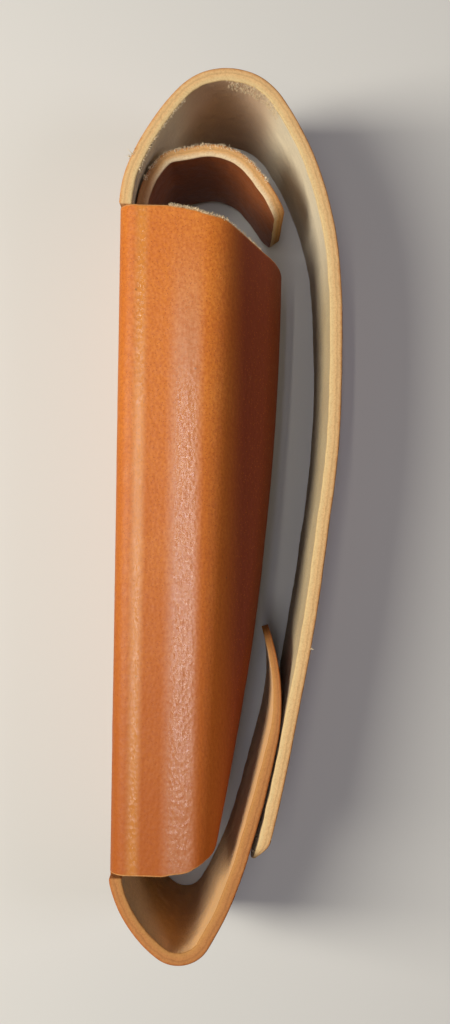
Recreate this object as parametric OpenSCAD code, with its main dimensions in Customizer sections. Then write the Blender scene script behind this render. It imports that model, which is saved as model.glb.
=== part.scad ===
// Folding pen case of thick leather.
// One long strip makes the back, the cover that goes over the top and the
// tongue that comes round the bottom and tucks inside the cover. A wing folds
// from the near edge of the back and curls round the pen. A second hide lines
// the back and bends over the mouth of the pen room as a hood.
// The case lies on its far long edge: X runs from the back to the cover,
// Y from the bottom fold to the top fold and Z across the strip.

/* [Hides] */
// Thickness of the outer hide
hide_t = 2.4; // [1.8:0.1:3]
// Thickness of the lining hide
lining_t = 2.4; // [1.6:0.1:3]
// Width of the outer strip, from its far edge to its near edge
strip_w = 40; // [38:0.5:46]

/* [Back] */
// Straight length of the back panel
back_len = 127; // [110:1:145]

/* [Cover] */
// Outer radius where the cover rises from the back
rise_r = 23; // [20:0.5:28]
// Turn of the rise
rise_angle = 23; // [18:1:27]
// Outer radius of the slope behind the crown
slope_r = 46.7; // [40:0.5:55]
// Turn of the slope
slope_angle = 20; // [16:1:24]
// Outer radius of the crown
crown_r = 13; // [12:0.25:15]
// Turn of the crown in front of its highest line
crown_front_angle = 55; // [50:1:60]
// Outer radius of the shoulder below the crown
shoulder_r = 62.5; // [56:0.5:70]
// Turn of the shoulder
shoulder_angle = 30; // [26:1:33]
// Outer radius of the cover's lower run, below the tongue's end
flap_r = 500; // [300:10:900]
// Length of that lower run
flap_length = 17.5; // [14:0.5:22]
// Length of the rounded end of the cover
flap_end = 6.5; // [5:0.5:13]
// Radius of the two corners at the cover's end
flap_corner_r = 6; // [3:0.5:6.5]

/* [Tongue] */
// Outer radius where the tongue leaves the back
heel_root_r = 5.7; // [5:0.1:8]
// Turn of that first bend
heel_root_angle = 15; // [10:1:20]
// Outer radius of the heel
heel_r = 25.4; // [22:0.2:29]
// Turn of the heel
heel_angle = 38; // [34:1:42]
// Outer radius of the toe, the tight fold at the bottom
toe_r = 6.6; // [6:0.1:8]
// Turn of the toe in front of its lowest line
toe_front_angle = 60; // [56:1:63]
// Outer radius of the run that rises from the toe
tongue_rise_r = 76; // [65:0.5:90]
// Turn of that run
tongue_rise_angle = 14; // [11:1:17]
// Outer radius of the tongue
tongue_r = 220; // [180:2:300]
// Turn of the tongue up to its rounded end
tongue_angle = 6; // [4:0.1:7]
// Outer radius of the rounded end of the tongue, which leans in from the cover
tongue_end_r = 43; // [38:0.5:60]
// Turn of that end
tongue_end_angle = 27; // [26:1:30]
// Radius of the two corners at the tongue's end
tongue_corner_r = 18; // [10:0.5:18.5]

/* [Closure] */
// Clearance between the tongue and the inside of the cover
tuck_gap = 0.5; // [0.4:0.05:1]
// How much further the cover leans in than the tongue where they meet
tuck_lean = 0.6; // [0:0.1:1.5]

/* [Wing] */
// Outer radius of the fold between the back and the wing
wing_fold_r = 3.4; // [3.2:0.1:4.5]
// Depth of the pen room's tube at the wing's upper end
wing_top_depth = 31.6; // [29:0.2:33]
// Depth of the tube at the wing's lower end
wing_low_depth = 20; // [19.4:0.1:21]
// Width of the wing's side up to its hinge line, at its upper end
wing_top_flat = 18; // [15:0.2:19.6]
// Width of the wing's side up to its hinge line, at its lower end
wing_low_flat = 13.5; // [10:0.2:15.6]
// Distance of the wing's crease from the back, at its upper end
wing_top_crease = 20; // [19.8:0.1:21]
// Distance of the wing's crease from the back, at its lower end
wing_low_crease = 16; // [15.8:0.1:16.4]
// Outer radius of the crease
wing_crease_r = 4; // [3.2:0.1:5]
// Turn of the crease
wing_crease_angle = 40; // [34:1:46]
// Outer radius of the bend below the crease, at the wing's upper end
wing_top_bend_r = 9; // [6:0.2:11]
// Outer radius of that bend at the wing's lower end
wing_low_bend_r = 3.6; // [3:0.1:4]
// Height above the far edge at which the wing's front curls in
wing_curl_height = 7; // [5:0.5:9]
// Inward lean of the wing's front where the curl starts
wing_front_lean = 10; // [6:1:14]
// Outer radius of the curl at the wing's free edge
wing_curl_r = 7; // [5:0.5:9]
// Turn of that curl
wing_curl_angle = 30; // [20:1:35]
// Drop of the wing's upper edge across its side
wing_top_drop = 2.3; // [1:0.1:3]
// Further drop of the upper edge from the crease to the free edge
wing_front_drop = 12; // [8:0.5:15]
// Lift of the wing's lower edge across its side
wing_low_lift = 0.6; // [0:0.1:2]
// Further lift of the lower edge to the free edge
wing_front_lift = 7.4; // [3:0.2:10]
// Slit between each end of the wing's fold and the strip beside it
wing_slit = 0.4; // [0.3:0.05:1]

/* [Lining and hood] */
// Clearance between the lining and the back, taken up by their bonded nap
lining_gap = 0.3; // [0.2:0.05:0.6]
// Distance of the lining's near edge from the near edge of the strip
lining_near_inset = 5; // [4.7:0.1:7]
// Distance of the lining's far edge from the far edge of the strip
lining_far_inset = 2.5; // [1:0.5:5]
// Distance of the lining's lower end from the bottom of the back
lining_low_inset = 3; // [1:0.5:8]
// Outer radius where the hood leaves the lining
hood_root_r = 16.5; // [14:0.25:18]
// Turn of the hood's root
hood_root_angle = 41; // [36:1:46]
// Outer radius of the hood's brow, the tight bend behind its flat top
hood_brow_r = 5.7; // [5:0.1:7]
// Turn of the brow
hood_brow_angle = 38; // [34:1:42]
// Length of the flat top of the hood
hood_top_length = 5; // [3:0.5:6]
// Outer radius of the bend in front of the flat top
hood_crown_r = 11.5; // [10:0.25:13]
// Turn of that bend
hood_crown_angle = 60; // [55:1:65]
// Outer radius of the hood's front
hood_front_r = 46; // [40:0.5:52]
// Turn of the hood's front
hood_front_angle = 5; // [4:0.5:8]
// Length of the rounded end of the hood
hood_end = 6; // [5:0.5:7]
// Radius of the two corners at the hood's end
hood_corner_r = 5; // [3:0.5:5]

/* [Hidden] */

// Steps round a full circle on every turned bend
$fn = 360;
// Steps along the wing and across each of its bends
wing_rows = 14;
bend_steps = 6;
panel_steps = 3;

grain_tan = "#c8783c";
hood_tan = "#b5652f";

// The two turns that bring the crown and the toe level at their turning lines
crown_back_angle = 90 - rise_angle - slope_angle;
toe_back_angle = 90 - heel_root_angle - heel_angle;

// A station is a point of an outer surface and the heading of the hide there:
// [x, y, heading]. LEFT and RIGHT say which way a run turns, and on which side
// of its outer surface the hide lies.
LEFT = 1;
RIGHT = -1;

function bend_centre(s, r, turn) =
    [s[0] - turn * r * sin(s[2]), s[1] + turn * r * cos(s[2])];

function after_bend(s, r, angle, turn) =
    let (c = bend_centre(s, r, turn), heading = s[2] + turn * angle)
    [c[0] + turn * r * sin(heading), c[1] - turn * r * cos(heading), heading];

function after_run(s, length) =
    [s[0] + length * cos(s[2]), s[1] + length * sin(s[2]), s[2]];

// The station moved by a distance into the hide's side
function moved_in(s, side, distance) =
    [s[0] - side * distance * sin(s[2]), s[1] + side * distance * cos(s[2]), s[2]];

// The place where two tangent bends of like reach meet, between two stations
function meeting_point(a, b) =
    let (
        reach = [b[0] - a[0], b[1] - a[1]],
        dir_a = [cos(a[2]), sin(a[2])],
        dir_b = [cos(b[2]), sin(b[2])],
        both = dir_a + dir_b,
        spread = 2 * (1 - dir_a * dir_b),
        arm = (sqrt(pow(reach * both, 2) + spread * (reach * reach)) - reach * both) / spread,
        corner_a = [a[0], a[1]] + arm * dir_a,
        corner_b = [b[0], b[1]] - arm * dir_b
    )
    (corner_a + corner_b) / 2;

// The bend that leaves a station and passes through a point: [radius, angle],
// both negative where it has to turn left
function bend_to(s, p) =
    let (
        reach = [p[0] - s[0], p[1] - s[1]],
        off = s[2] - atan2(reach[1], reach[0])
    )
    [norm(reach) / (2 * sin(off)), 2 * off];

// Tongue, from the bottom of the back
back_foot = [0, 0, -90];
heel_root_out = after_bend(back_foot, heel_root_r, heel_root_angle, LEFT);
heel_out = after_bend(heel_root_out, heel_r, heel_angle, LEFT);
toe_line = after_bend(heel_out, toe_r, toe_back_angle, LEFT);
toe_out = after_bend(toe_line, toe_r, toe_front_angle, LEFT);
tongue_rise_out = after_bend(toe_out, tongue_rise_r, tongue_rise_angle, LEFT);
tongue_out = after_bend(tongue_rise_out, tongue_r, tongue_angle, LEFT);

// Cover, from the top of the back
back_head = [0, back_len, 90];
rise_out = after_bend(back_head, rise_r, rise_angle, RIGHT);
slope_out = after_bend(rise_out, slope_r, slope_angle, RIGHT);
crown_line = after_bend(slope_out, crown_r, crown_back_angle, RIGHT);
crown_out = after_bend(crown_line, crown_r, crown_front_angle, RIGHT);
shoulder_out = after_bend(crown_out, shoulder_r, shoulder_angle, RIGHT);

// The cover's front runs in two bends from the shoulder to the tuck, where it
// lies over the end of the tongue at the named clearance
tuck = moved_in(tongue_out, RIGHT, tuck_gap);
tuck_heading = tongue_out[2] - 180 - tuck_lean;
shoulder_inside = moved_in(shoulder_out, RIGHT, hide_t);
tuck_inside = [tuck[0], tuck[1], tuck_heading];
front_meeting = meeting_point(shoulder_inside, tuck_inside);
upper_bend = bend_to(shoulder_inside, front_meeting);
upper_r = upper_bend[0] + hide_t;
front_middle = after_bend(shoulder_out, upper_r, upper_bend[1], RIGHT);
middle_inside = moved_in(front_middle, RIGHT, hide_t);
lower_bend = bend_to(middle_inside, tuck_inside);
lower_r = lower_bend[0] + hide_t;
front_out = after_bend(front_middle, lower_r, lower_bend[1], RIGHT);
flap_angle = flap_length / flap_r * 180 / PI;
flap_out = after_bend(front_out, flap_r, flap_angle, RIGHT);

// Lining and hood, against the inside of the back
lining_z = lining_far_inset;
lining_w = strip_w - lining_far_inset - lining_near_inset;
lining_x = hide_t + lining_gap;
hood_foot = [lining_x, back_len, 90];
hood_root_out = after_bend(hood_foot, hood_root_r, hood_root_angle, RIGHT);
hood_brow_out = after_bend(hood_root_out, hood_brow_r, hood_brow_angle, RIGHT);
hood_top_out = after_run(hood_brow_out, hood_top_length);
hood_crown_out = after_bend(hood_top_out, hood_crown_r, hood_crown_angle, RIGHT);
hood_front_out = after_bend(hood_crown_out, hood_front_r, hood_front_angle, RIGHT);

// The origin lies under the middle of the whole case
reach_x = bend_centre(shoulder_out, upper_r, RIGHT)[0] + upper_r;
top_y = crown_line[1];
low_y = toe_line[1];

// Wing: v runs from 0 at its upper end to 1 at its lower end. Across the wing k
// counts the stages from the hinge line: 1 the crease, 2 the facet, 3 the bend,
// 4 the front, 5 the curl and 6 the free edge. Angles turn from +X towards -Z.
wing_top_y = back_len - wing_slit;
wing_low_y = wing_slit;
last_stage = 6;

function between(a, b, v) = a + (b - a) * v;
function wing_flat(v) = between(wing_top_flat, wing_low_flat, v);
function wing_crease(v) = between(wing_top_crease, wing_low_crease, pow(v, 4));
function wing_depth(v) = between(wing_top_depth, wing_low_depth, v * v);
function wing_bend_r(v) = between(wing_top_bend_r, wing_low_bend_r, v);

// The angle of the sheet at the start of each stage
stage_angles = [
    0, 0, wing_crease_angle, wing_crease_angle, 90,
    90 + wing_front_lean, 90 + wing_front_lean + wing_curl_angle
];

function facet_length(v) =
    let (
        crease_reach = wing_crease_r * sin(wing_crease_angle),
        bend_reach = wing_bend_r(v) * (1 - sin(wing_crease_angle))
    )
    (wing_depth(v) - wing_crease(v) - crease_reach - bend_reach) / cos(wing_crease_angle);

// The height at which the front starts, and the radius of its gentle curve
function front_start(v) =
    strip_w - wing_crease_r * (1 - cos(wing_crease_angle))
    - facet_length(v) * sin(wing_crease_angle)
    - wing_bend_r(v) * cos(wing_crease_angle);
function front_r(v) = (front_start(v) - wing_curl_height) / sin(wing_front_lean);

function along_run(p, length, a) = [p[0] + length * cos(a), p[1] - length * sin(a)];
function along_bend(p, r, from_a, to_a) =
    [p[0] + r * (sin(to_a) - sin(from_a)), p[1] + r * (cos(to_a) - cos(from_a))];

function stage_radius(v, stage) =
    stage == 1 ? wing_crease_r
    : stage == 3 ? wing_bend_r(v)
    : stage == 4 ? front_r(v)
    : wing_curl_r;

// The outer face at k: each stage starts where the one before it ends
function wing_surface(v, k) =
    k <= 0 ? [wing_flat(v), strip_w]
    : let (
        stage = ceil(k) - 1,
        share = k - stage,
        start = wing_surface(v, stage),
        from_a = stage_angles[stage],
        to_a = between(from_a, stage_angles[stage + 1], share)
    )
    stage == 0 ? along_run(start, (wing_crease(v) - wing_flat(v)) * share, 0)
    : stage == 2 ? along_run(start, facet_length(v) * share, from_a)
    : along_bend(start, stage_radius(v, stage), from_a, to_a);

function wing_angle(k) =
    k <= 0 ? 0
    : let (stage = ceil(k) - 1)
    between(stage_angles[stage], stage_angles[stage + 1], k - stage);

function wing_y(v, k) = between(
    wing_top_y - wing_top_drop - wing_front_drop * max(0, k - 1) / (last_stage - 1),
    wing_low_y + wing_low_lift + wing_front_lift * k / last_stage,
    v);

// A point of the wing's sheet: depth is 0 on its outer face, hide_t on its inner
function wing_point(v, k, depth) =
    let (p = wing_surface(v, k), a = wing_angle(k))
    [p[0] - depth * sin(a), wing_y(v, k), p[1] - depth * cos(a)];

// ---- shared shapes

module placed() {
    translate([-reach_x / 2, -(top_y + low_y) / 2, 0])
        children();
}

// A bend of hide leaving a station. A negative radius turns the other way and
// keeps the hide on the same side.
module bend(s, r, angle, turn, t = hide_t, z = 0, w = strip_w) {
    c = bend_centre(s, r, turn);
    swept = abs(angle);
    way = turn * sign(r);
    first = way > 0 ? s[2] - 90 : s[2] + 90 - swept;
    inner = r > 0 ? r - t : -r;
    translate([c[0], c[1], z])
        rotate([0, 0, first])
            rotate_extrude(angle = swept)
                translate([inner, 0])
                    square([t, w]);
}

// A flat end of hide leaving a station, with its two free corners rounded
module rounded_end(s, length, side, corner_r, t = hide_t, z = 0, w = strip_w) {
    translate([s[0], s[1], z])
        rotate([0, 0, s[2]])
            translate([0, side > 0 ? t : 0, 0])
                rotate([90, 0, 0])
                    linear_extrude(t)
                        intersection() {
                            square([length, w]);
                            union() {
                                square([length - corner_r, w]);
                                translate([0, corner_r])
                                    square([length, w - 2 * corner_r]);
                                for (end_z = [corner_r, w - corner_r])
                                    translate([length - corner_r, end_z])
                                        circle(corner_r);
                            }
                        }
}

// A bend of hide leaving a station, with its two free corners rounded
module bent_end(s, r, angle, turn, corner_r, t = hide_t, w = strip_w) {
    chord = 2 * r * sin(angle / 2);
    intersection() {
        bend(s, r, angle, turn);
        translate([s[0], s[1], 0])
            rotate([0, 0, s[2] + turn * angle / 2])
                rotate([90, 0, 0])
                    linear_extrude(2 * r, center = true) {
                        translate([-t, 0])
                            square([t + chord - corner_r, w]);
                        translate([0, corner_r])
                            square([chord + t, w - 2 * corner_r]);
                        for (end_z = [corner_r, w - corner_r])
                            translate([chord - corner_r, end_z])
                                circle(corner_r);
                    }
    }
}

// A sheet of the wing through a list of values of k
module wing_sheet(ks) {
    steps = len(ks) - 1;
    ring = 2 * (steps + 1);
    points = [
        for (row = [0:wing_rows]) let (v = row / wing_rows)
            each concat(
                [for (k = ks) wing_point(v, k, 0)],
                [for (i = [steps:-1:0]) wing_point(v, ks[i], hide_t)])
    ];
    walls = [
        for (row = [0:wing_rows - 1], j = [0:ring - 1])
            let (a = row * ring + j, b = row * ring + (j + 1) % ring)
            each [[a, b, b + ring], [a, b + ring, a + ring]]
    ];
    top_cap = [
        for (j = [0:steps - 1])
            each [[j, ring - 1 - j, ring - 2 - j], [j, ring - 2 - j, j + 1]]
    ];
    last = wing_rows * ring;
    low_cap = [
        for (j = [0:steps - 1])
            each [
                [last + j, last + ring - 2 - j, last + ring - 1 - j],
                [last + j, last + j + 1, last + ring - 2 - j]
            ]
    ];
    polyhedron(points, concat(walls, top_cap, low_cap));
}

// ---- the back and its lining

module back_panel() {
    color(grain_tan) placed()
        cube([hide_t, back_len, strip_w - wing_fold_r]);
}

module lining_panel() {
    color(hood_tan) placed()
        translate([lining_x, lining_low_inset, lining_z])
            cube([lining_t, back_len - lining_low_inset, lining_w]);
}

// ---- the cover

module cover_rise() {
    color(grain_tan) placed() bend(back_head, rise_r, rise_angle, RIGHT);
}

module cover_slope() {
    color(grain_tan) placed() bend(rise_out, slope_r, slope_angle, RIGHT);
}

module crown_back() {
    color(grain_tan) placed() bend(slope_out, crown_r, crown_back_angle, RIGHT);
}

module crown_front() {
    color(grain_tan) placed() bend(crown_line, crown_r, crown_front_angle, RIGHT);
}

module cover_shoulder() {
    color(grain_tan) placed() bend(crown_out, shoulder_r, shoulder_angle, RIGHT);
}

module cover_front_upper() {
    color(grain_tan) placed() bend(shoulder_out, upper_r, upper_bend[1], RIGHT);
}

module cover_front_lower() {
    color(grain_tan) placed() bend(front_middle, lower_r, lower_bend[1], RIGHT);
}

module cover_flap() {
    color(grain_tan) placed() bend(front_out, flap_r, flap_angle, RIGHT);
}

module cover_end() {
    color(grain_tan) placed() rounded_end(flap_out, flap_end, RIGHT, flap_corner_r);
}

// ---- the tongue

module heel_root() {
    color(grain_tan) placed() bend(back_foot, heel_root_r, heel_root_angle, LEFT);
}

module heel() {
    color(grain_tan) placed() bend(heel_root_out, heel_r, heel_angle, LEFT);
}

module toe_back() {
    color(grain_tan) placed() bend(heel_out, toe_r, toe_back_angle, LEFT);
}

module toe_front() {
    color(grain_tan) placed() bend(toe_line, toe_r, toe_front_angle, LEFT);
}

module tongue_rise() {
    color(grain_tan) placed() bend(toe_out, tongue_rise_r, tongue_rise_angle, LEFT);
}

module tongue_panel() {
    color(grain_tan) placed() bend(tongue_rise_out, tongue_r, tongue_angle, LEFT);
}

module tongue_end_tab() {
    color(grain_tan) placed()
        bent_end(tongue_out, tongue_end_r, tongue_end_angle, LEFT, tongue_corner_r);
}

// ---- the wing

module wing_fold() {
    color(grain_tan) placed()
        translate([wing_fold_r, wing_top_y, strip_w - wing_fold_r])
            rotate([90, 0, 0])
                rotate([0, 0, 90])
                    rotate_extrude(angle = 90)
                        translate([wing_fold_r - hide_t, 0])
                            square([hide_t, wing_top_y - wing_low_y]);
}

module wing_side() {
    color(grain_tan) placed()
        translate([0, 0, strip_w - hide_t])
            linear_extrude(hide_t)
                polygon([
                    [wing_fold_r, wing_top_y],
                    [wing_fold_r, wing_low_y],
                    [wing_low_flat, wing_low_y + wing_low_lift],
                    [wing_top_flat, wing_top_y - wing_top_drop]
                ]);
}

module wing_front_bend() {
    color(grain_tan) placed()
        wing_sheet(concat(
            [0],
            [for (i = [0:bend_steps]) 1 + i / bend_steps],
            [for (i = [0:bend_steps]) 3 + i / bend_steps]));
}

module wing_front_panel() {
    color(grain_tan) placed()
        wing_sheet([for (i = [0:panel_steps]) 4 + i / panel_steps]);
}

module wing_free_edge() {
    color(grain_tan) placed()
        wing_sheet([for (i = [0:panel_steps]) 5 + i / panel_steps]);
}

// ---- the hood

module hood_bend(s, r, angle) {
    color(hood_tan) placed() bend(s, r, angle, RIGHT, lining_t, lining_z, lining_w);
}

module hood_root() {
    hood_bend(hood_foot, hood_root_r, hood_root_angle);
}

module hood_brow() {
    hood_bend(hood_root_out, hood_brow_r, hood_brow_angle);
}

module hood_top() {
    color(hood_tan) placed()
        translate([hood_brow_out[0], hood_brow_out[1], lining_z])
            rotate([0, 0, hood_brow_out[2]])
                translate([0, -lining_t, 0])
                    cube([hood_top_length, lining_t, lining_w]);
}

module hood_crown() {
    hood_bend(hood_top_out, hood_crown_r, hood_crown_angle);
}

module hood_front() {
    hood_bend(hood_crown_out, hood_front_r, hood_front_angle);
}

module hood_end_tab() {
    color(hood_tan) placed()
        rounded_end(hood_front_out, hood_end, RIGHT, hood_corner_r, lining_t, lining_z, lining_w);
}

back_panel();
lining_panel();
cover_rise();
cover_slope();
crown_back();
crown_front();
cover_shoulder();
cover_front_upper();
cover_front_lower();
cover_flap();
cover_end();
heel_root();
heel();
toe_back();
toe_front();
tongue_rise();
tongue_panel();
tongue_end_tab();
wing_fold();
wing_side();
wing_front_bend();
wing_front_panel();
wing_free_edge();
hood_root();
hood_brow();
hood_top();
hood_crown();
hood_front();
hood_end_tab();
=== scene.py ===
"""The looks of the folding leather pen case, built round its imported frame.

Each hide is cut as a flat sheet, given its thickness and rounded edges, and then
laid round the line that it follows. The sheets are divided at places that don't
bend, so that each one bends at one fold. Sizes are in millimetres and degrees
until a sheet is placed.
"""
import functools
import math
import random

import bmesh
import bpy
from mathutils import Matrix, Vector, noise


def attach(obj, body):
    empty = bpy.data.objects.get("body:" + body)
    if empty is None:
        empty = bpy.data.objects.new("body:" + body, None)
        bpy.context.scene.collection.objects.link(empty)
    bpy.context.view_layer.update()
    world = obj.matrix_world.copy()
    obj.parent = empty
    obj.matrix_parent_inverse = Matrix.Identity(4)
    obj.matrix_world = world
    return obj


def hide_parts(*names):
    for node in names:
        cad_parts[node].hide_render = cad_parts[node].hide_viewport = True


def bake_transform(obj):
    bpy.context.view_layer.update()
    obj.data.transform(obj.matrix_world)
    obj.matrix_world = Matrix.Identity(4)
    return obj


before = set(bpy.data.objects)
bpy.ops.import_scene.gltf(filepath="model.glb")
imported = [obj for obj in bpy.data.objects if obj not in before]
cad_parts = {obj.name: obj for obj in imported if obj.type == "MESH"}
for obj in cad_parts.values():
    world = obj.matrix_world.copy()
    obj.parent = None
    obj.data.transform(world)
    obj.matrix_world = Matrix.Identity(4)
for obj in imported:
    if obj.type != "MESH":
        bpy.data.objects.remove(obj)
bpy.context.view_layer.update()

MM = 0.001

# ---- the hides, in millimetres, as the part's source has them

HIDE_T = 2.4
LINING_T = 2.4
STRIP_W = 40.0
BACK_LEN = 127.0
FOOT = (-21.3814, -68.6037)
HEAD = (FOOT[0], FOOT[1] + BACK_LEN)

# A run is a list of bends (outer radius, angle); a straight has radius 0 and its
# length in the angle's place.
RISE, SLOPE, CROWN = (23.0, 23.0), (46.7, 20.0), (13.0, 102.0)
COVER_RUN = [
    RISE, SLOPE, CROWN, (62.5, 30.0), (231.081, 11.5065), (647.092, 4.09353),
    (500.0, 2.00535), (0.0, 6.5),
]
HEEL_ROOT, HEEL, TOE = (5.7, 15.0), (25.4, 38.0), (6.6, 97.0)
TONGUE_RUN = [HEEL_ROOT, HEEL, TOE, (76.0, 14.0), (220.0, 6.0), (43.0, 27.0)]
HOOD_RUN = [(16.5, 41.0), (5.7, 38.0), (0.0, 5.0), (11.5, 60.0), (46.0, 5.0), (0.0, 6.0)]
FLAP_CORNER, TONGUE_CORNER, HOOD_CORNER = 6.0, 18.0, 5.0

LINING_GAP = 0.3
LINING_LOW_INSET = 3.0
LINING_Z = (2.5, 35.0)
LINING_X = FOOT[0] + HIDE_T + LINING_GAP

# The wing, from its upper end (v = 0) to its lower end (v = 1)
WING_FOLD_R = 3.4
WING_SLIT = 0.4
WING_RISE = 0.7
WING_DEPTH = (31.6, 20.4)
WING_FLAT = (14.0, 12.5)
WING_CREASE = (16.4, 15.4)
CREASE_R, CREASE_ANGLE = (9.0, 4.6), 40.0
WING_BEND_R = (9.0, 3.6)
CURL_HEIGHT, FRONT_LEAN = 7.0, 10.0
CURL_R, CURL_ANGLE = 7.0, 30.0
WING_CROWN, CROWN_REACH = 0.45, (4.0, 25.0)
WING_TOP_Y, WING_LOW_Y = HEAD[1] + WING_RISE, FOOT[1]
# How far the wing's ends are cut in, against the distance from the back along the hide
TOP_CUT = [(0, 0), (9, 0.15), (14, 0.9), (20.3, 2.5), (30.8, 7.6), (36.8, 10.2), (60, 14.3)]
LOW_CUT = [(0, 0), (10, 0), (14.8, 1.0), (18, 2.6), (20.7, 4.2), (23, 6.2), (30, 7.6), (60, 8.2)]

# Where the sheets meet, on stretches that no fold bends
BACK_SEAM = 63.5
SEAM_Z = 36.5
WING_SEAM = 9.5

# The wing's stages count on from here, where its distances from the back end
STAGE_0 = 100
# A sheet is even at its seams, and takes this far to become uneven
CALM_REACH = 4.0
STEP = 0.5
WING_STEP, FOLD_STEP = 0.6, 0.4
EDGE_ROUND = 0.34
SHARP = 1.0
GRAIN, FLESH, EDGE = 0, 1, 2


def run_length(run):
    """The length of a run along its outer face."""
    return sum(amount if radius == 0 else radius * math.radians(amount) for radius, amount in run)


def walk(start, heading, turn, run, distance):
    """The point and heading at a distance along a run that turns left (1) or right (-1)."""
    x, y = start
    for index, (radius, amount) in enumerate(run):
        length = run_length([(radius, amount)])
        step = distance if index == len(run) - 1 else min(distance, length)
        if radius == 0:
            x += step * math.cos(math.radians(heading))
            y += step * math.sin(math.radians(heading))
        else:
            a, swept = math.radians(heading), turn * step / radius
            x += turn * radius * (math.sin(a + swept) - math.sin(a))
            y -= turn * radius * (math.cos(a + swept) - math.cos(a))
            heading += math.degrees(swept)
        distance -= step
        if distance <= 0:
            break
    return x, y, heading


def strip_station(s):
    """Point and inward direction of the outer strip at s from the foot of the back."""
    if s < 0:
        x, y, heading = walk(FOOT, -90, 1, TONGUE_RUN, -s)
        a = math.radians(heading + 90)
    elif s <= BACK_LEN:
        x, y, a = FOOT[0], FOOT[1] + s, 0.0
    else:
        x, y, heading = walk(HEAD, 90, -1, COVER_RUN, s - BACK_LEN)
        a = math.radians(heading - 90)
    return x, y, math.cos(a), math.sin(a)


def lining_station(s):
    """The same for the lining and its hood, with s from the lining's lower end."""
    panel = BACK_LEN - LINING_LOW_INSET
    if s <= panel:
        return LINING_X, HEAD[1] - panel + s, 1.0, 0.0
    x, y, heading = walk((LINING_X, HEAD[1]), 90, -1, HOOD_RUN, s - panel)
    a = math.radians(heading - 90)
    return x, y, math.cos(a), math.sin(a)


# ---- cutting a flat sheet

def spread(stops, share):
    """The value at a share of the way through a list of (value, steps)."""
    total = sum(steps for _, steps in stops[1:])
    at = share * total
    for (low, _), (high, steps) in zip(stops, stops[1:]):
        if at <= steps + 1e-6:
            return low + (high - low) * at / steps
        at -= steps
    return stops[-1][0]


def flat_sheet(rows, columns, thickness, cut=None, shape=None, seams=()):
    """A closed sheet with its outer face at z = 0. rows and columns are stops of
    (value, steps) along x and y. cut says which faces are trimmed off, shape
    moves a point of the pattern, and the seams named in (x, y) keep square edges."""
    bm = bmesh.new()
    count = [sum(steps for _, steps in stops[1:]) for stops in (rows, columns)]
    bmesh.ops.create_grid(bm, x_segments=count[0], y_segments=count[1], size=0.5)
    for vert in bm.verts:
        vert.co.x = spread(rows, vert.co.x + 0.5)
        vert.co.y = spread(columns, vert.co.y + 0.5)
    if cut:
        trimmed = [face for face in bm.faces if cut(*face.calc_center_median().xy)]
        bmesh.ops.delete(bm, geom=trimmed, context="FACES")
    bmesh.ops.solidify(bm, geom=bm.faces[:], thickness=thickness)
    bm.normal_update()
    corners = [
        edge for edge in bm.edges
        if edge.calc_face_angle(0) > SHARP and not any(
            all(abs(vert.co[axis] - at) < 1e-4 for vert in edge.verts) for axis, at in seams)
    ]
    bmesh.ops.bevel(
        bm, geom=corners, offset=EDGE_ROUND, segments=3, profile=0.5, affect="EDGES",
        material=-1, clamp_overlap=True)
    depth = bm.verts.layers.float.new("depth")
    for vert in bm.verts:
        vert[depth] = -vert.co.z / thickness
        if shape:
            vert.co.x, vert.co.y = shape(vert.co.x, vert.co.y)
    for edge in bm.edges:
        edge.smooth = edge.calc_face_angle(0) < SHARP
    for face in bm.faces:
        depths = [vert[depth] for vert in face.verts]
        face.material_index = (
            GRAIN if max(depths) < 1e-3 else FLESH if min(depths) > 1 - 1e-3 else EDGE)
        face.smooth = True
    return bm


def rounded_tip(start, length, low, high, corner):
    """Narrows the last stretch of a sheet to a tip with rounded corners."""
    middle, half = (low + high) / 2, (high - low) / 2

    def shape(x, y):
        past = (x - (start + length - corner)) / corner
        if past <= 0:
            return x, y
        turn = min(past, 1) * math.pi / 2
        reach = (half - corner + corner * math.cos(turn)) / half
        return start + length - corner + corner * math.sin(turn), middle + (y - middle) * reach

    return shape


# ---- laying a sheet round its line

def fade(distance, reach):
    """Rises smoothly from 0 to 1 over a reach."""
    share = max(0.0, min(1.0, distance / reach))
    return share * share * (3 - 2 * share)


def waves(x, y, seed, *layers):
    """Smooth unevenness of a hide: layers of (height, length of a wave)."""
    return sum(
        height * noise.noise(Vector((x / length, y / length, seed + 7.3 * index)))
        for index, (height, length) in enumerate(layers))


def lay(bm, name, place, finish, swap=False):
    """Places every point by place(x, y, depth), and makes the sheet an object."""
    for vert in bm.verts:
        vert.co = Vector(place(vert.co.x, vert.co.y, -vert.co.z)) * MM
    if bm.calc_volume(signed=True) < 0:
        bmesh.ops.reverse_faces(bm, faces=bm.faces[:])
    if swap:
        for face in bm.faces:
            face.material_index = {GRAIN: FLESH, FLESH: GRAIN, EDGE: EDGE}[face.material_index]
    mesh = bpy.data.meshes.new(name)
    bm.to_mesh(mesh)
    bm.free()
    for skin in finish:
        mesh.materials.append(skin)
    piece = bpy.data.objects.new(name, mesh)
    bpy.context.scene.collection.objects.link(piece)
    return piece


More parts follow.
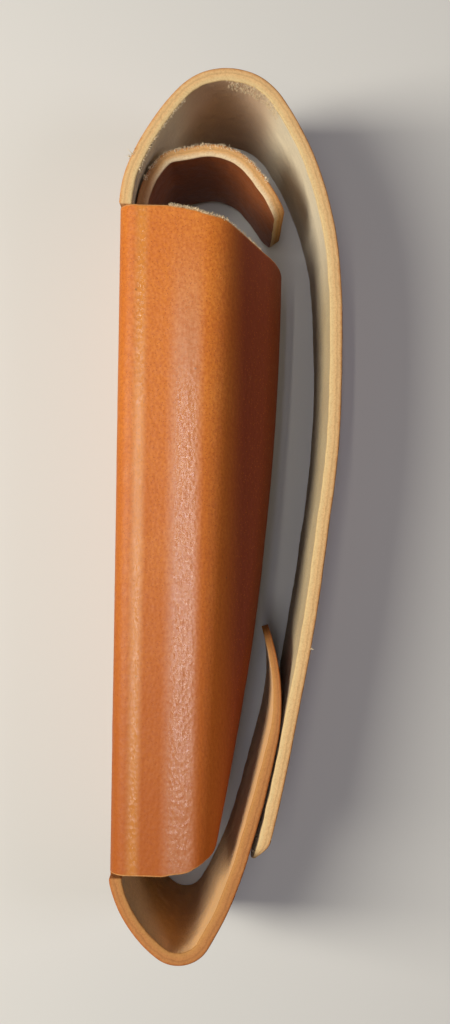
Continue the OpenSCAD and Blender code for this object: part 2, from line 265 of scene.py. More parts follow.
def along(station, low, high, seams, seed):
    """Lays a sheet round a line, a little uneven except near its seams."""
    def place(s, w, depth):
        calm = min([fade(abs(s - seam), CALM_REACH) for seam in seams] or [1.0])
        x, y, in_x, in_y = station(s)
        share = depth / HIDE_T
        lift = calm * (waves(s, w, seed, (0.16, 17.0), (0.05, 5.0))
                       + share * waves(s, w, seed + 40, (0.10, 2.6), (0.10, 7.0)))
        middle, half = (low + high) / 2, (high - low) / 2
        side = fade(w - middle, half) - fade(middle - w, half)
        sway = calm * side * waves(s, 0, seed + 80, (0.22, 12.0), (0.07, 2.4))
        inward = depth + lift
        # The cut edges sway into the sheet only
        trimmed = min(sway, 0.0) * (1 if w > low + 1 else -1)
        return x + in_x * inward, y + in_y * inward, w + trimmed
    return place


def skived(place, tip, stretch, outside):
    """Thins a sheet towards its tip, from its outer or its inner side."""
    start, end, thin = stretch

    def skive(s, w, depth):
        share = thin * fade(s - (tip - start), start - end)
        kept = depth + (HIDE_T - depth) * share if outside else depth * (1 - share)
        return place(s, w, kept)
    return skive


# ---- the wing's cross-section

def between(ends, share):
    return ends[0] + (ends[1] - ends[0]) * share


def read_off(table, at):
    """The value at a place in a table of (place, value)."""
    for (low, first), (high, second) in zip(table, table[1:]):
        if at <= high:
            return first + (second - first) * (at - low) / (high - low)
    return table[-1][1]


@functools.lru_cache(maxsize=None)
def wing_run(v):
    """The wing's bends past its flat side, one a stage: (radius, angle) or (0, length)."""
    turned = math.radians(CREASE_ANGLE)
    crease_r, bend_r = between(CREASE_R, v), between(WING_BEND_R, v)
    crease = between(WING_CREASE, v)
    span = (between(WING_DEPTH, v * v) - crease - crease_r * math.sin(turned)
            - bend_r * (1 - math.sin(turned)))
    facet = span / math.cos(turned)
    front_top = (STRIP_W - crease_r * (1 - math.cos(turned)) - facet * math.sin(turned)
                 - bend_r * math.cos(turned))
    front_r = (front_top - CURL_HEIGHT) / math.sin(math.radians(FRONT_LEAN))
    return (
        (0.0, crease - between(WING_FLAT, v)), (crease_r, CREASE_ANGLE), (0.0, facet),
        (bend_r, 90 - CREASE_ANGLE), (front_r, FRONT_LEAN), (CURL_R, CURL_ANGLE),
    )


@functools.lru_cache(maxsize=None)
def wing_section(v, k):
    """Point, heading and distance along the hide at k stages past the wing's flat side."""
    px, pz, heading, reach = between(WING_FLAT, v), STRIP_W, 0.0, between(WING_FLAT, v)
    for index, bend in enumerate(wing_run(v)):
        part = max(0.0, min(1.0, k - index)) * run_length([bend])
        if part > 0:
            px, pz, heading = walk((px, pz), heading, -1, [bend], part)
            reach += part
    return px, pz, heading, reach


def wing_place(x, v, depth):
    """A point of the wing. Up to its flat side's end x is the distance from the back, and past
    it x counts on by stages from STAGE_0."""
    if x < STAGE_0:
        flat = between(WING_FLAT, v)
        share = (x - WING_SEAM) / (WING_FLAT[0] - WING_SEAM)
        px, pz, heading = WING_SEAM + (flat - WING_SEAM) * share, STRIP_W, 0.0
        low_x = WING_SEAM + (WING_FLAT[1] - WING_SEAM) * share
        drop, lift = read_off(TOP_CUT, x), read_off(LOW_CUT, low_x)
    else:
        px, pz, heading, _ = wing_section(v, x - STAGE_0)
        drop = read_off(TOP_CUT, wing_section(0.0, x - STAGE_0)[3])
        lift = read_off(LOW_CUT, wing_section(1.0, x - STAGE_0)[3])
    turned = -math.radians(heading)
    y = between((WING_TOP_Y - drop, WING_LOW_Y + WING_SLIT + lift), v)
    return px - depth * math.sin(turned) + FOOT[0], y, pz - depth * math.cos(turned)


def wing_crown(reach):
    """How far the near side bulges at a distance from the back along the hide."""
    share = (reach - CROWN_REACH[0]) / (CROWN_REACH[1] - CROWN_REACH[0])
    return WING_CROWN * math.sin(math.pi * share) ** 2 if 0 < share < 1 else 0.0


def wing_sheet_place(seed):
    """Lays the wing past its seam, a little uneven, with its near side bulging."""
    def place(x, v, depth):
        flat, stage = x < STAGE_0, x - STAGE_0
        calm = fade(x - WING_SEAM, CALM_REACH)
        px, py, pz = wing_place(x, v, depth)
        span = v * BACK_LEN
        # Roughly the distance from the back, which is all that the waves need
        across = x if flat else 18 + stage * 4
        lift = calm * waves(span, across, seed, (0.16, 24.0), (0.03, 6.0))
        lift -= wing_crown(x if flat else wing_section(v, stage)[3])
        nx, ny, nz = wing_place(x, v, depth + 1)
        inward = Vector((nx - px, ny - py, nz - pz))
        ends = fade(0.5 - v, 0.5) - fade(v - 0.5, 0.5)
        sway = waves(across, 0, seed + 30 + (10 if v > 0.5 else 0), (0.25, 6.0), (0.10, 1.6))
        point = Vector((px, py, pz)) + inward * lift
        point.y += calm * sway * (ends ** 8)
        return point
    return place


def fold_place(a, v, depth):
    """The strip of the back beside the wing, the fold and the start of the wing's side: a runs
    from the seam on the back."""
    rise = STRIP_W - WING_FOLD_R - SEAM_Z
    quarter = WING_FOLD_R * math.pi / 2
    slit = WING_SLIT * fade(a - rise * 0.5, 0.6)
    drop = lift = 0.0
    if a <= rise:
        px, pz, turned = 0.0, SEAM_Z + a, -math.pi / 2
    elif a <= rise + quarter:
        turned = (a - rise) / WING_FOLD_R - math.pi / 2
        px = WING_FOLD_R * (1 + math.sin(turned))
        pz = STRIP_W - WING_FOLD_R * (1 - math.cos(turned))
    else:
        turned, pz = 0.0, STRIP_W
        px = WING_FOLD_R + (a - rise - quarter)
        drop, lift = read_off(TOP_CUT, px), read_off(LOW_CUT, px)
    y = between((WING_TOP_Y - drop, WING_LOW_Y + slit + lift), v)
    depth -= wing_crown(px) if turned == 0 else 0
    return px - depth * math.sin(turned) + FOOT[0], y, pz - depth * math.cos(turned)


# ---- finishes

class Finish:
    """A material with a Principled shader and short ways to add its nodes."""

    def __init__(self, name, **sockets):
        self.skin = bpy.data.materials.new(name)
        self.skin.use_nodes = True
        self.tree = self.skin.node_tree
        self.shader = self.tree.nodes["Principled BSDF"]
        for socket, value in sockets.items():
            self.shader.inputs[socket.replace("_", " ")].default_value = value
        self.place = self.tree.nodes.new("ShaderNodeTexCoord").outputs["Object"]

    def node(self, kind, inputs=(), **settings):
        node = self.tree.nodes.new("ShaderNode" + kind)
        for key, value in settings.items():
            setattr(node, key, value)
        for socket, value in dict(inputs).items():
            if isinstance(value, bpy.types.NodeSocket):
                self.tree.links.new(value, node.inputs[socket])
            else:
                node.inputs[socket].default_value = value
        return node

    def stretched(self, scale):
        return self.node("Mapping", {"Vector": self.place, "Scale": scale}).outputs["Vector"]

    def noise(self, size, detail=2.0, stretch=None, rough=0.5):
        """Noise whose patches are about size millimetres across."""
        vector = self.stretched(stretch) if stretch else self.place
        return self.node("TexNoise", {
            "Vector": vector, "Scale": 1 / (size * MM), "Detail": detail, "Roughness": rough,
        }).outputs["Fac"]

    def cells(self, size, feature="F1", stretch=None, **inputs):
        """The distance from the middle of cells about size millimetres across."""
        vector = self.stretched(stretch) if stretch else self.place
        return self.node(
            "TexVoronoi", {"Vector": vector, "Scale": 1 / (size * MM), **inputs}, feature=feature,
        ).outputs["Distance"]

    def span(self, axis, start, end, most=1.0):
        """Rises smoothly from 0 to most between two places along an axis, in millimetres."""
        split = self.node("SeparateXYZ", {"Vector": self.place}).outputs[axis]
        return self.node("MapRange", {
            "Value": split, "From Min": start * MM, "From Max": end * MM, "To Max": most,
        }, interpolation_type="SMOOTHSTEP").outputs["Result"]

    def ramp(self, source, *stops):
        """Stops of (position, value or colour)."""
        ramp = self.node("ValToRGB", {"Fac": source})
        elements = ramp.color_ramp.elements
        while len(elements) < len(stops):
            elements.new(0.5)
        for element, (at, value) in zip(elements, stops):
            element.position = at
            element.color = (*value, 1) if isinstance(value, tuple) else (value, value, value, 1)
        return ramp.outputs["Color"]

    def mix(self, share, first, second):
        """A share of the second colour in the first. The numbers are the node's colour sockets."""
        node = self.node("Mix", data_type="RGBA")
        for index, value in ((0, share), (6, first), (7, second)):
            if isinstance(value, bpy.types.NodeSocket):
                self.tree.links.new(value, node.inputs[index])
            else:
                tone = (*value, 1) if isinstance(value, tuple) else value
                node.inputs[index].default_value = tone
        return node.outputs[2]

    def math(self, operation, first, second):
        return self.node("Math", {0: first, 1: second}, operation=operation).outputs[0]

    def product(self, first, *rest):
        for factor in rest:
            first = self.math("MULTIPLY", first, factor)
        return first

    def bump(self, height, depth, under=None):
        """Relief of depth millimetres, on top of another relief."""
        inputs = {"Height": height, "Strength": 1.0, "Distance": depth * MM}
        if under:
            inputs["Normal"] = under
        return self.node("Bump", inputs).outputs["Normal"]

    def wear(self, **links):
        """Links the shader's sockets, and gives the finished material."""
        for socket, source in links.items():
            self.tree.links.new(source, self.shader.inputs[socket.replace("_", " ")])
        return self.skin


def darker(tone, share):
    return tuple(value * share for value in tone)


# The wing is smoother in two bands along it, where the overhead tubes glint, and the bands carry a
# painted sheen and a painted highlight streak. Each is where it begins, where it is full, where it
# is last full and where it ends, across the wing.
WIDE_BAND = (-12.4, -9.2, -6.8, -4.2)
NARROW_BAND = (-18.8, -17.2, -16.8, -15.2)
# Painted shade: the wing's facet past its crease faces away from the key light, and takes a darker
# tone over this stretch
PAINTED_FACET_SHADE_STRETCH = ("X", -3.2, 3.4, 0.93)
# Painted shade: the grain darkens from the head to the foot, as the light falls off
PAINTED_FALLOFF = ("Y", 50, -75, 0.75)
SPECK = (0.16, 0.045, 0.012)
# The painted sheen over the wide band, and the painted highlight streak over the narrow one
PAINTED_SHEEN, PAINTED_STREAK = (0.55, 0.30, 0.19), (0.80, 0.40, 0.12)
# Tones of painted light on the flesh, and of painted shade on the hood's rim
PAINTED_LIT_FLESH, PAINTED_RIM_SHADE = (0.95, 0.84, 0.62), (0.26, 0.10, 0.04)


def grain_finish(name, tan, light, dark, gloss, painted_facet_shade=None):
    """The smooth side of veg-tanned hide: mottled, finely pebbled, with pores and a gloss. The
    last argument is the painted shade of the wing past its crease; with it come the wing's
    smoother bands, which carry a painted sheen and a painted highlight streak."""
    hide = Finish(name, Roughness=gloss, Specular_IOR_Level=0.36)
    clouds = hide.noise(14.0, 3.0)
    mottle = hide.noise(0.6, 4.0, rough=0.65)
    colour = hide.mix(hide.ramp(clouds, (0.35, 0.0), (0.68, 1.0)), tan, light)
    colour = hide.mix(hide.ramp(mottle, (0.38, 0.55), (0.62, 0.0)), colour, dark)
    # Painted shade, darker towards the foot
    colour = hide.mix(hide.span(*PAINTED_FALLOFF), colour, darker(dark, 0.74))
    # Painted shade on the wing's facet past its crease
    if painted_facet_shade:
        colour = hide.mix(hide.span(*PAINTED_FACET_SHADE_STRETCH), colour, painted_facet_shade)
    pores = hide.ramp(hide.cells(0.50, Randomness=1.0), (0.12, 0.75), (0.26, 0.0))
    colour = hide.mix(pores, colour, darker(dark, 0.7))
    specks = hide.ramp(hide.cells(5.5, Randomness=1.0), (0.02, 0.8), (0.05, 0.0))
    colour = hide.mix(specks, colour, SPECK)
    rough = hide.ramp(hide.noise(2.0, 3.0), (0.3, gloss - 0.04), (0.7, gloss + 0.06))
    # The bands: lower roughness, with a painted sheen over the wide one and a painted highlight
    # streak over the narrow one
    if painted_facet_shade:
        wide, narrow = (
            hide.product(hide.span("X", start, full), hide.span("X", end, last))
            for start, full, last, end in (WIDE_BAND, NARROW_BAND))
        painted_sheen_share = hide.product(
            wide, hide.span("Y", 58, 30), hide.ramp(mottle, (0.35, 0.25), (0.6, 0.50)))
        colour = hide.mix(painted_sheen_share, colour, PAINTED_SHEEN)
        colour = hide.mix(hide.product(narrow, 0.35), colour, PAINTED_STREAK)
        polished = hide.math("ADD", hide.product(wide, hide.span("Y", 42, 20)), narrow)
        polish = hide.ramp(hide.noise(0.9, 3.0), (0.35, 0.13), (0.65, 0.25))
        rough = hide.mix(polished, rough, polish)
    pebbles = hide.cells(0.62, "SMOOTH_F1", stretch=(1.0, 0.6, 1.0), Smoothness=0.35)
    fine = hide.noise(0.26, 3.0)
    swell = hide.noise(3.2, 2.0)
    relief = hide.bump(swell, 0.03, hide.bump(fine, 0.008, hide.bump(pebbles, 0.045)))
    return hide.wear(Base_Color=colour, Roughness=rough, Normal=relief)


def flesh_finish(name, pale, shade, shade_and_light_tone=None, shade_and_light_stretches=(), painted_light_stretch=None):
    """The napped side of the hide: matt, with short fibres. The third argument is a tone laid over
    the stretches in the fourth: painted shade in the crown's top, and on the tongue an orange tone
    painted brighter as painted light. The stretch in the last argument takes a paler tone, as
    painted light where the flesh is lit."""
    hide = Finish(
        name, Roughness=0.95, Sheen_Weight=0.25, Sheen_Roughness=0.6, Specular_IOR_Level=0.2)
    clouds = hide.noise(9.0, 3.0)
    nap = hide.noise(0.45, 5.0, rough=0.7)
    colour = hide.mix(hide.ramp(clouds, (0.3, 0.0), (0.7, 1.0)), pale, shade)
    colour = hide.mix(hide.ramp(nap, (0.36, 0.6), (0.58, 0.0)), colour, darker(shade, 0.62))
    # Painted light: paler where the flesh is lit
    if painted_light_stretch:
        colour = hide.mix(hide.span(*painted_light_stretch), colour, PAINTED_LIT_FLESH)
    # Painted shade, and on the tongue an orange painted brighter as painted light
    for stretch in shade_and_light_stretches:
        colour = hide.mix(hide.span(*stretch), colour, shade_and_light_tone)
    relief = hide.bump(nap, 0.16)
    relief = hide.bump(hide.noise(2.6, 3.0), 0.22, relief)
    return hide.wear(Base_Color=colour, Normal=relief)


def edge_finish(name, skin, core, nap, painted_shade_stretch=None):
    """The cut edge: the tan of the grain side runs into the pale core and the napped side. The
    stretch in the last argument takes painted shade."""
    hide = Finish(name, Roughness=0.88, Specular_IOR_Level=0.25)
    depth = hide.node("Attribute", attribute_name="depth").outputs["Fac"]
    ragged = hide.math("ADD", depth, hide.math("MULTIPLY", hide.noise(0.9, 4.0), 0.30))
    layers = hide.ramp(
        ragged, (0.14, skin), (0.42, core), (0.60, darker(core, 0.8)), (0.66, core), (1.02, nap))
    fibres = hide.noise(0.30, 5.0, stretch=(1.0, 1.0, 0.5), rough=0.75)
    streaks = hide.ramp(fibres, (0.34, 0.35), (0.52, 0.0))
    colour = hide.mix(streaks, layers, darker(skin, 0.6))
    # Painted shade over the given stretch
    if painted_shade_stretch:
        colour = hide.mix(hide.span(*painted_shade_stretch), colour, PAINTED_RIM_SHADE)
    relief = hide.bump(fibres, 0.09)
    relief = hide.bump(hide.noise(1.4, 3.0), 0.16, relief)
    return hide.wear(Base_Color=colour, Normal=relief)


OUTER_TONES = ((0.62, 0.170, 0.014), (0.68, 0.215, 0.024), (0.44, 0.092, 0.006))
OUTER_GLOSS = 0.52
OUTER_GRAIN = grain_finish("outer_hide_grain", *OUTER_TONES, OUTER_GLOSS)
# The wing's grain carries painted shade past its crease, and a painted sheen and streak on its
# bands
WING_GRAIN = grain_finish(
    "outer_hide_wing_grain", *OUTER_TONES, OUTER_GLOSS, painted_facet_shade=(0.125, 0.010, 0.002))
NAP = ((0.62, 0.48, 0.23), (0.55, 0.39, 0.17))
# The crown's flesh takes painted shade over Y 75 to 83, and painted light over Y 38 to 60
OUTER_FLESH = flesh_finish(
    "outer_hide_flesh", *NAP, (0.52, 0.20, 0.038), [("Y", 75, 83, 0.7)],
    painted_light_stretch=("Y", 38, 60, 0.75))
# The tongue's and heel's flesh take an orange tone of their own, painted brighter as painted
# light, from X -17 to -7
TONGUE_FLESH = flesh_finish(
    "tongue_hide_flesh", *NAP, (0.90, 0.46, 0.13), [("X", -17, -7, 0.92)])
OUTER_EDGE = edge_finish(
    "outer_hide_edge", (0.58, 0.25, 0.08), (0.76, 0.49, 0.23), (0.72, 0.53, 0.27))
TONGUE_EDGE = edge_finish(
    "tongue_hide_edge", (0.44, 0.13, 0.026), (0.52, 0.225, 0.075), (0.52, 0.25, 0.080))
LINING_GRAIN = grain_finish(
    "lining_hide_grain", (0.34, 0.095, 0.026), (0.40, 0.12, 0.034), (0.22, 0.05, 0.014), 0.46)
LINING_FLESH = flesh_finish("lining_hide_flesh", (0.62, 0.45, 0.26), (0.52, 0.35, 0.19))
# The hood's rim takes painted shade at its left end
LINING_EDGE = edge_finish(
    "lining_hide_edge", (0.50, 0.20, 0.06), (0.70, 0.40, 0.16), (0.78, 0.60, 0.38),
    painted_shade_stretch=("X", -12.5, -16.5, 0.75))
OUTER = (OUTER_GRAIN, OUTER_FLESH, OUTER_EDGE)
WING = (WING_GRAIN, OUTER_FLESH, OUTER_EDGE)
TONGUE = (OUTER_GRAIN, TONGUE_FLESH, TONGUE_EDGE)
LINING = (LINING_GRAIN, LINING_FLESH, LINING_EDGE)

# ---- the sheets

# The folds inside the crown and the toe lie this far round their bends
CROWN_FOLD, CROWN_SEAM_AT, TOE_FOLD = 47.0, 74.5, 37.0
SLOPE_SEAM = BACK_LEN + run_length([RISE]) + run_length([SLOPE]) / 2
CROWN_SEAM = BACK_LEN + run_length([RISE, SLOPE, (CROWN[0], CROWN_SEAM_AT)])
COVER_TIP = BACK_LEN + run_length(COVER_RUN)
HEEL_SEAM = -run_length([HEEL_ROOT]) - run_length([HEEL]) / 2
TONGUE_TIP = -run_length(TONGUE_RUN)
WING_HEAD = BACK_LEN + WING_RISE


def steps(length, step=STEP):
    """How many steps a length is cut in."""
    return max(1, round(abs(length) / step))


# The strip's steps across its width, and the rows of a rounded end
WIDE = [(0.0, 0), (SEAM_Z, 58), (STRIP_W, 6)]
END_ROWS = 16
# How far from its end a sheet's end is thinned, from and to, and by what share
COVER_SKIVE, TONGUE_SKIVE = (5, 0, 0.8), (36, 4, 0.42)


def rows_between(*stations):
    """Stops at each station, with even steps between them."""
    return [(stations[0], 0)] + [
        (high, steps(high - low)) for low, high in zip(stations, stations[1:])]


back_upper = lay(
    flat_sheet(
        rows_between(BACK_SEAM, WING_HEAD, SLOPE_SEAM), WIDE, HIDE_T,
        cut=lambda s, w: s < WING_HEAD and w > SEAM_Z,
        seams=[(0, BACK_SEAM), (0, SLOPE_SEAM), (1, SEAM_Z)]),
    "back_upper_hide", along(strip_station, 0, STRIP_W, (BACK_SEAM, SLOPE_SEAM), 1.0), OUTER)
crown = lay(
    flat_sheet(
        rows_between(SLOPE_SEAM, CROWN_SEAM), WIDE, HIDE_T,
        seams=[(0, SLOPE_SEAM), (0, CROWN_SEAM)]),
    "crown_hide", along(strip_station, 0, STRIP_W, (SLOPE_SEAM, CROWN_SEAM), 1.0), OUTER)
cover_front = lay(
    flat_sheet(
        rows_between(CROWN_SEAM, COVER_TIP - FLAP_CORNER) + [(COVER_TIP, END_ROWS)], WIDE, HIDE_T,
        shape=rounded_tip(0, COVER_TIP, 0, STRIP_W, FLAP_CORNER), seams=[(0, CROWN_SEAM)]),
    "cover_front_hide",
    skived(
        along(strip_station, 0, STRIP_W, (CROWN_SEAM,), 1.0), COVER_TIP, COVER_SKIVE, True),
    OUTER)
back_lower = lay(
    flat_sheet(
        rows_between(HEEL_SEAM, 0.0, BACK_SEAM), WIDE, HIDE_T,
        cut=lambda s, w: s > 0 and w > SEAM_Z,
        seams=[(0, BACK_SEAM), (0, HEEL_SEAM), (1, SEAM_Z)]),
    "back_lower_hide", along(strip_station, 0, STRIP_W, (BACK_SEAM, HEEL_SEAM), 1.0), TONGUE)
# The tongue is cut from its seam outwards, so its distance counts the other way
tongue = lay(
    flat_sheet(
        rows_between(-HEEL_SEAM, -TONGUE_TIP - TONGUE_CORNER) + [(-TONGUE_TIP, END_ROWS)],
        WIDE, HIDE_T, shape=rounded_tip(0, -TONGUE_TIP, 0, STRIP_W, TONGUE_CORNER),
        seams=[(0, -HEEL_SEAM)]),
    "tongue_hide",
    skived(
        lambda s, w, d: along(strip_station, 0, STRIP_W, (HEEL_SEAM,), 1.0)(-s, w, d),
        -TONGUE_TIP, TONGUE_SKIVE, False),
    TONGUE)

LINING_TIP = BACK_LEN - LINING_LOW_INSET + run_length(HOOD_RUN)
lining = lay(
    flat_sheet(
        rows_between(0.0, LINING_TIP - HOOD_CORNER) + [(LINING_TIP, END_ROWS)],
        [(LINING_Z[0], 0), (LINING_Z[1], steps(LINING_Z[1] - LINING_Z[0]))], LINING_T,
        shape=rounded_tip(0, LINING_TIP, *LINING_Z, HOOD_CORNER)),
    "lining_and_hood_hide", along(lining_station, *LINING_Z, (), 3.0), LINING, swap=True)

FOLD_REACH = STRIP_W - WING_FOLD_R - SEAM_Z + WING_FOLD_R * math.pi / 2 + WING_SEAM - WING_FOLD_R


def wing_pattern(columns, seams):
    """A sheet for part of the wing, as long as the back."""
    return flat_sheet(
        [(0.0, 0), (BACK_LEN, steps(BACK_LEN, WING_STEP))], columns, HIDE_T, seams=seams)


wing_fold = lay(
    wing_pattern(
        [(0.0, 0), (FOLD_REACH, steps(FOLD_REACH, FOLD_STEP))], [(1, 0.0), (1, FOLD_REACH)]),
    "wing_fold_hide", lambda s, a, d: fold_place(a, 1 - s / BACK_LEN, d), WING)

# The wing's front is cut by distance in stages of like width, and laid by stage
STAGE_WIDTHS = [4.5, 2.5, 6.0, 8.0, 7.9, 21.0, 3.7]
STAGE_STARTS = [sum(STAGE_WIDTHS[:index]) for index in range(len(STAGE_WIDTHS) + 1)]


def stage_at(a):
    """Turns a distance across the pattern into the x that wing_place takes."""
    if a <= STAGE_STARTS[1]:
        return WING_SEAM + a
    index = next(
        (i for i, end in enumerate(STAGE_STARTS[1:]) if a <= end + 1e-6), len(STAGE_WIDTHS) - 1)
    return STAGE_0 - 1 + index + (a - STAGE_STARTS[index]) / STAGE_WIDTHS[index]


wing_front = lay(
    wing_pattern(rows_between(*STAGE_STARTS), [(1, 0.0)]),
    "wing_hide",
    lambda s, a, d: wing_sheet_place(5.0)(stage_at(a), 1 - s / BACK_LEN, d), WING)

# ---- loose fibres at the cut edges

FIBRE_R = 0.065
# Where the wing's fibres end, and how far along the hide one of its stages reaches there
FRONT_FUZZ_END, STAGE_REACH = 23.0, 3.2
FIBRE_TINT = flesh_finish("loose_fibre", (0.90, 0.77, 0.55), (0.82, 0.66, 0.43))


def fuzz(name, count, seed, length, root):
    """Short bent fibres, each of two tapered lengths. root(rng) gives a start and a way out."""
    rng = random.Random(seed)
    bm = bmesh.new()
    for _ in range(count):
        base, out = root(rng)
        reach = length * rng.uniform(0.3, 1.0)
        radius = FIBRE_R * rng.uniform(0.6, 1.5)
        way = out.normalized() + Vector([rng.gauss(0, 0.45) for _ in range(3)])
        # Its root sits a little inside the hide
        base = base - out.normalized() * 0.12
        for part, (low, high) in enumerate([(1.0, 0.75), (0.75, 0.2)]):
            way = (way + Vector([rng.gauss(0, 0.45 * part) for _ in range(3)])).normalized()
            turned = way.to_track_quat("Z", "Y").to_matrix().to_4x4()
            bmesh.ops.create_cone(
                bm, cap_ends=True, segments=4, radius1=radius * low, radius2=radius * high,
                depth=reach, matrix=Matrix.Translation(base + way * reach / 2) @ turned)
            base = base + way * reach * 0.96
            reach *= 0.8
    return lay(bm, name, lambda x, y, depth: (x, y, -depth), (FIBRE_TINT,))


OUTWARDS, INWARDS = -1, 1


def edge_root(place, stretch, across, depths, way, lift):
    """Roots within ranges of a sheet's run, width and depth. They leave outwards or inwards,
    and upwards."""
    def root(rng):
        s, w, depth = (rng.uniform(*ends) for ends in (stretch, across, depths))
        start, past = (Vector(place(s, w, at)) for at in (depth, depth + way))
        return start, (past - start).normalized() + Vector((0, 0, lift))
    return root


def wing_root(low, high):
    """Roots along the wing's cut upper end, between two distances from the back."""
    place = wing_sheet_place(5.0)

    def root(rng):
        x = rng.uniform(low, high)
        x = x if x < WING_FLAT[0] else STAGE_0 + (x - WING_FLAT[0]) / STAGE_REACH
        start = Vector(place(x, 0.0, rng.uniform(0.0, 1.2)))
        return start, Vector((0, 1, 0.9))
    return root


outer_line = along(strip_station, 0, STRIP_W, (), 1.0)
hood_line = along(lining_station, *LINING_Z, (), 3.0)
PANEL = BACK_LEN - LINING_LOW_INSET
RIM, HOOD_RIM = STRIP_W, LINING_Z[1]
front_fuzz = fuzz("wing_front_fuzz", 600, 18, 0.48, wing_root(WING_FLAT[0], FRONT_FUZZ_END))
# Each root's ranges are along the run, across the hide and through its thickness
FUZZ = [
    (fuzz("wing_end_fuzz", 300, 11, 0.48, wing_root(WING_SEAM, WING_FLAT[0])), "wing"),
    (fuzz("hood_edge_fuzz", 700, 12, 0.45, edge_root(
        hood_line, (PANEL + 7, LINING_TIP - 6), (HOOD_RIM - 0.3, HOOD_RIM), (0.0, 0.7),
        OUTWARDS, 1.2)), "hood"),
    (fuzz("crown_back_fuzz", 340, 13, 0.45, edge_root(
        outer_line, (BACK_LEN + 8, SLOPE_SEAM + 8), (RIM - 1.2, RIM - 0.1), (2.2, 2.4),
        INWARDS, 0.3)), "cover_back"),
    (fuzz("crown_front_fuzz", 620, 14, 0.38, edge_root(
        outer_line, (SLOPE_SEAM + 19, CROWN_SEAM + 8), (RIM - 5.0, RIM - 0.1), (2.3, 2.4),
        INWARDS, 0.3)), "cover_top"),
    (fuzz("cover_tip_fuzz", 90, 15, 0.45, edge_root(
        outer_line, (COVER_TIP - 6, COVER_TIP - 0.5), (RIM - 5, RIM - 3), (1.6, 2.4),
        INWARDS, 0.8)), "cover"),
    (fuzz("crown_tuft", 16, 16, 0.9, edge_root(
        outer_line, (BACK_LEN + 9.6, BACK_LEN + 10.8), (RIM - 0.6, RIM), (0.0, 0.3),
        OUTWARDS, 0.5)), "cover_back"),
    (fuzz("front_tuft", 9, 17, 0.5, edge_root(
        outer_line, (CROWN_SEAM + 112.5, CROWN_SEAM + 113.5), (RIM - 0.5, RIM), (0.0, 0.3),
        OUTWARDS, 0.5)), "cover"),
]

# ---- joints

def point(x, y, z):
    return (x * MM, y * MM, z * MM)


def end_of(start, heading, turn, run):
    return walk(start, heading, turn, run, run_length(run))


crown_line = end_of(HEAD, 90, -1, [RISE, SLOPE, (CROWN[0], CROWN_FOLD)])
crown_out = end_of(HEAD, 90, -1, [RISE, SLOPE, CROWN])
toe_line = end_of(FOOT, -90, 1, [HEEL_ROOT, HEEL, (TOE[0], TOE_FOLD)])


def across_fold(piece):
    """Bakes the piece's placement into its mesh."""
    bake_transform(piece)


across_fold(back_upper)
across_fold(crown)
across_fold(cover_front)
across_fold(back_lower)
across_fold(tongue)
across_fold(lining)
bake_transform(wing_fold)
for piece in (wing_front, front_fuzz):
    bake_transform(piece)

REPLACED = {
    back_upper: ("back_panel", "cover_rise", "cover_slope"),
    crown: ("crown_back", "crown_front"),
    cover_front: (
        "cover_shoulder", "cover_front_upper", "cover_front_lower", "cover_flap", "cover_end"),
    back_lower: ("heel_root", "heel"),
    tongue: ("toe_back", "toe_front", "tongue_rise", "tongue_panel", "tongue_end_tab"),
    lining: (
        "lining_panel", "hood_root", "hood_brow", "hood_top", "hood_crown", "hood_front",
        "hood_end_tab"),
    wing_fold: ("wing_fold", "wing_side"),
    wing_front: ("wing_front_bend", "wing_front_panel", "wing_free_edge"),
}
for piece, body in FUZZ:
    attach(piece, body)
for piece, nodes in REPLACED.items():
    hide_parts(*nodes)

# ---- floor, light and camera

# The floor looks pale, but throws little light back on the hide
FLOOR_SEEN, FLOOR_GIVES = (0.68, 0.68, 0.67), (0.08, 0.065, 0.055)
DAYLIGHT, DAYLIGHT_STRENGTH = (1.0, 0.97, 0.94), 0.035
# The camera's distance from the upper rim, and half the picture's long side there
VIEW_DISTANCE, HALF_VIEW = 215.0, 96.79

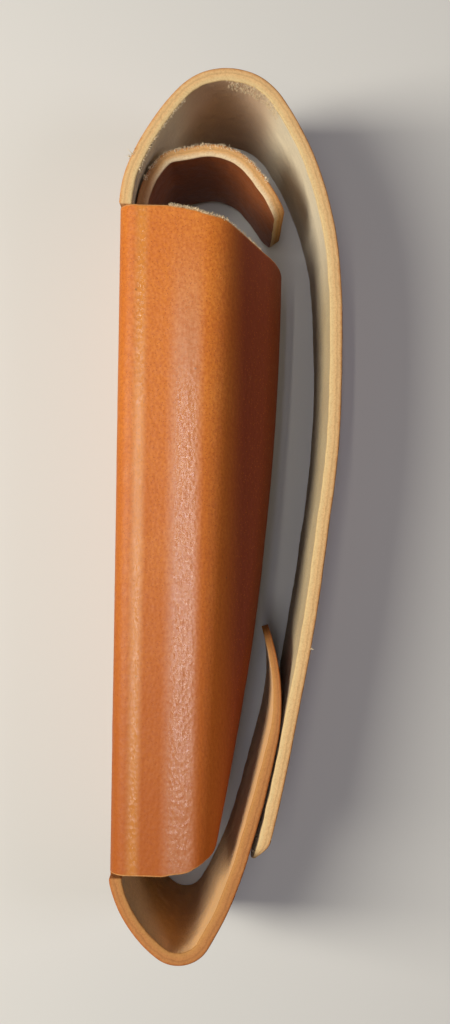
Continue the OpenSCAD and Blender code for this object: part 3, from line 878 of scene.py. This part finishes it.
scene = bpy.context.scene
floor_bm = bmesh.new()
bmesh.ops.create_grid(floor_bm, x_segments=1, y_segments=1, size=3.0)
floor_mesh = bpy.data.meshes.new("floor")
floor_bm.to_mesh(floor_mesh)
floor_bm.free()
floor = bpy.data.objects.new("floor", floor_mesh)
scene.collection.objects.link(floor)
floor_finish = Finish("floor_paint", Roughness=0.9)
ray = floor_finish.node("LightPath")
floor_seen = floor_finish.math(
    "MAXIMUM", ray.outputs["Is Camera Ray"],
    floor_finish.math("MAXIMUM", ray.outputs["Is Glossy Ray"], ray.outputs["Is Transmission Ray"]))
floor_mesh.materials.append(floor_finish.wear(
    Base_Color=floor_finish.mix(floor_seen, FLOOR_GIVES, FLOOR_SEEN)))

world = bpy.data.worlds.new("studio")
world.use_nodes = True
sky = world.node_tree.nodes["Background"].inputs
sky["Color"].default_value = (*DAYLIGHT, 1)
sky["Strength"].default_value = DAYLIGHT_STRENGTH
scene.world = world


def softbox(name, place, aim, size, power, colour):
    """A rectangular studio lamp, (across, along) in metres, turned to what it lights."""
    lamp = bpy.data.lights.new(name, "AREA")
    lamp.shape = "RECTANGLE"
    lamp.size, lamp.size_y = size
    lamp.energy = power
    lamp.color = colour
    box = bpy.data.objects.new(name, lamp)
    box.location = place
    box.rotation_euler = (Vector(aim) - Vector(place)).to_track_quat("-Z", "Y").to_euler()
    scene.collection.objects.link(box)


softbox("key_box", (-0.36, 0.0, 0.41), (0, 0, 0.02), (0.14, 0.40), 3.1, (1.0, 0.95, 0.83))
softbox("right_box", (0.50, 0.0, 0.56), (0, 0, 0.02), (0.2, 0.3), 0.65, (1.0, 0.92, 1.0))
# Three tubes overhead, whose glints run along the wing's polished bands
TUBE_Y, TUBE_Z, TUBE_SIZE = -0.050, 0.94, (0.016, 0.46)
TUBES = [
    (-0.135, 0.70, (1.0, 0.93, 0.80)), (-0.078, 0.50, (0.72, 0.76, 1.0)),
    (-0.022, 0.55, (1.0, 0.97, 0.95))]
for index, (x, power, colour) in enumerate(TUBES):
    softbox(f"tube_{index}", (x, TUBE_Y, TUBE_Z), (x, TUBE_Y, 0), TUBE_SIZE, power, colour)

lens = bpy.data.cameras.new("camera")
lens.sensor_width = 36.0
lens.lens = lens.sensor_width / 2 * VIEW_DISTANCE / HALF_VIEW
lens.clip_start = 0.005
camera = bpy.data.objects.new("camera", lens)
camera.location = (-0.00043, 0.00104, (STRIP_W + VIEW_DISTANCE) * MM)
camera.rotation_euler = (0, 0, math.radians(0.9))
scene.collection.objects.link(camera)
scene.camera = camera
scene.view_settings.view_transform = "Standard"
